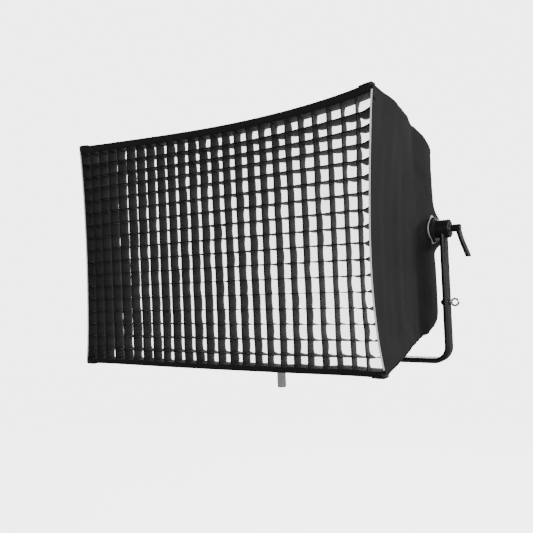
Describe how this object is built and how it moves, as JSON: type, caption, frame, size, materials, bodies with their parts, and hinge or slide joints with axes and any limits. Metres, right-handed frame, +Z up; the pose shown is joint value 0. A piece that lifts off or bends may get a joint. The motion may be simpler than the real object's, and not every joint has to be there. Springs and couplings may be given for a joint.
{
  "type": "softbox with fabric grid on a yoked panel light",
  "caption": "Wide rectangular softbox with a fabric egg-crate grid, fitted to a panel light that tilts in a flat-oval yoke on a junior spigot.",
  "frame": {"origin": "centre of the top of the spigot, where it leaves its plate under the yoke crossbar", "axes": "+X towards the clamping lever, +Y towards the back of the light, so the softbox faces -Y, +Z up along the spigot"},
  "size_m": [1.213, 0.501, 0.8126],
  "materials": {
    "yoke_paint": "fine-textured satin black powder coat",
    "friction_lining": "matt pressed lining",
    "black_plastic": "matt moulded",
    "bright_steel": "turned and plated",
    "zinc_steel": "zinc plated",
    "chrome_steel": "polished",
    "blackened_steel": "blackened, slightly oily",
    "lever_black": "fine textured die casting, satin black",
    "casing_paint": "textured black powder coat on aluminium",
    "opal_window": "opal diffusing plate",
    "circuit_board": "white solder mask",
    "bare_aluminium": "extruded, clear anodised",
    "panel_plastic": "fine grained",
    "display_glass": "polished dark window",
    "knob_rubber": "soft touch",
    "button_grey": "satin",
    "switch_red": "moulded",
    "black_anodised": "black anodised",
    "rod_fibre": "drawn glass fibre",
    "black_cloth": "tight plain-woven polyester, slight sheen",
    "white_cloth": "translucent white diffusion cloth, lit from behind",
    "white_piping": "white bound cord",
    "elastic_band": "ribbed elastic in a gathered hem",
    "grid_cloth": "stiffened black woven strip"
  },
  "bodies": {
    "yoke": {"yoke_tube": "yoke_paint", "hub_right": "yoke_paint", "hub_left": "yoke_paint", "friction_disc_right": "friction_lining", "friction_disc_left": "friction_lining", "hub_cap_left": "black_plastic", "spigot": "bright_steel", "spigot_bolt": "zinc_steel", "spigot_plate_screws": "zinc_steel", "eye_bolt": "chrome_steel", "eye_bolt_nuts": "blackened_steel"},
    "clamp_stud": {"clamp_stud": "zinc_steel", "lever_screw": "chrome_steel", "lever_spring": "zinc_steel"},
    "tilt_lever": {"tilt_lever": "lever_black"},
    "head": {"pivot_shaft_right": "casing_paint", "pivot_shaft_left": "casing_paint", "pivot_screws": "bright_steel", "casing": "casing_paint", "front_bezel": "casing_paint", "lamp_window": "opal_window", "led_board": "circuit_board", "heat_sink": "bare_aluminium", "driver_box": "black_plastic", "rear_cover": "casing_paint", "rear_cover_screws": "blackened_steel", "control_panel": "panel_plastic", "display_window": "display_glass", "power_inlet": "black_plastic", "data_sockets": "zinc_steel", "handle_right": "knob_rubber", "handle_left": "knob_rubber", "mount_ring": "black_anodised", "rod_sockets": "black_plastic", "spreader_rods": "rod_fibre", "corner_caps": "black_plastic", "panel_right": "black_cloth", "panel_left": "black_cloth", "panel_top": "black_cloth", "panel_bottom": "black_cloth", "front_hem": "black_cloth", "front_diffuser": "white_cloth", "edge_piping": "white_piping", "rear_skirt": "black_cloth", "skirt_elastic": "elastic_band"},
    "grid": {"grid_rim": "grid_cloth", "grid_uprights": "grid_cloth", "grid_levels": "grid_cloth"},
    "brightness_knob": {"brightness_knob": "knob_rubber"},
    "colour_knob": {"colour_knob": "knob_rubber"},
    "menu_button": {"menu_button": "button_grey"},
    "mode_button": {"mode_button": "button_grey"},
    "back_button": {"back_button": "button_grey"},
    "power_switch": {"power_switch": "switch_red"}
  },
  "joints": [
    {"name": "head_tilt", "type": "hinge", "parent": "yoke", "child": "head", "pos_m": [0, 0, 0.3865], "axis": [-1, 0, 0], "range_deg": [-15, 90]},
    {"name": "stud_turn", "type": "hinge", "parent": "yoke", "child": "clamp_stud", "pos_m": [0.57, 0, 0.3865], "axis": [1, 0, 0], "range_deg": [-60, 120]},
    {"name": "lever_pull", "type": "slide", "parent": "clamp_stud", "child": "tilt_lever", "axis": [1, 0, 0], "range_m": [0, 0.0035], "stiffness_N_per_m": 800, "springref_m": -0.002},
    {"name": "grid_pull_off", "type": "slide", "parent": "head", "child": "grid", "axis": [0, -1, 0], "range_m": [0, 0.15]},
    {"name": "brightness_turn", "type": "hinge", "parent": "head", "child": "brightness_knob", "pos_m": [0.062, 0.087, 0.4045], "axis": [0, -1, 0], "continuous": true},
    {"name": "colour_turn", "type": "hinge", "parent": "head", "child": "colour_knob", "pos_m": [0.105, 0.087, 0.4045], "axis": [0, -1, 0], "continuous": true},
    {"name": "menu_press", "type": "slide", "parent": "head", "child": "menu_button", "axis": [0, -1, 0], "range_m": [0, 0.0012], "stiffness_N_per_m": 600, "springref_m": -0.001},
    {"name": "mode_press", "type": "slide", "parent": "head", "child": "mode_button", "axis": [0, -1, 0], "range_m": [0, 0.0012], "stiffness_N_per_m": 600, "springref_m": -0.001},
    {"name": "back_press", "type": "slide", "parent": "head", "child": "back_button", "axis": [0, -1, 0], "range_m": [0, 0.0012], "stiffness_N_per_m": 600, "springref_m": -0.001},
    {"name": "power_rock", "type": "hinge", "parent": "head", "child": "power_switch", "pos_m": [0.11, 0.0856, 0.3505], "axis": [1, 0, 0], "range_deg": [-6, 6]}
  ]
}
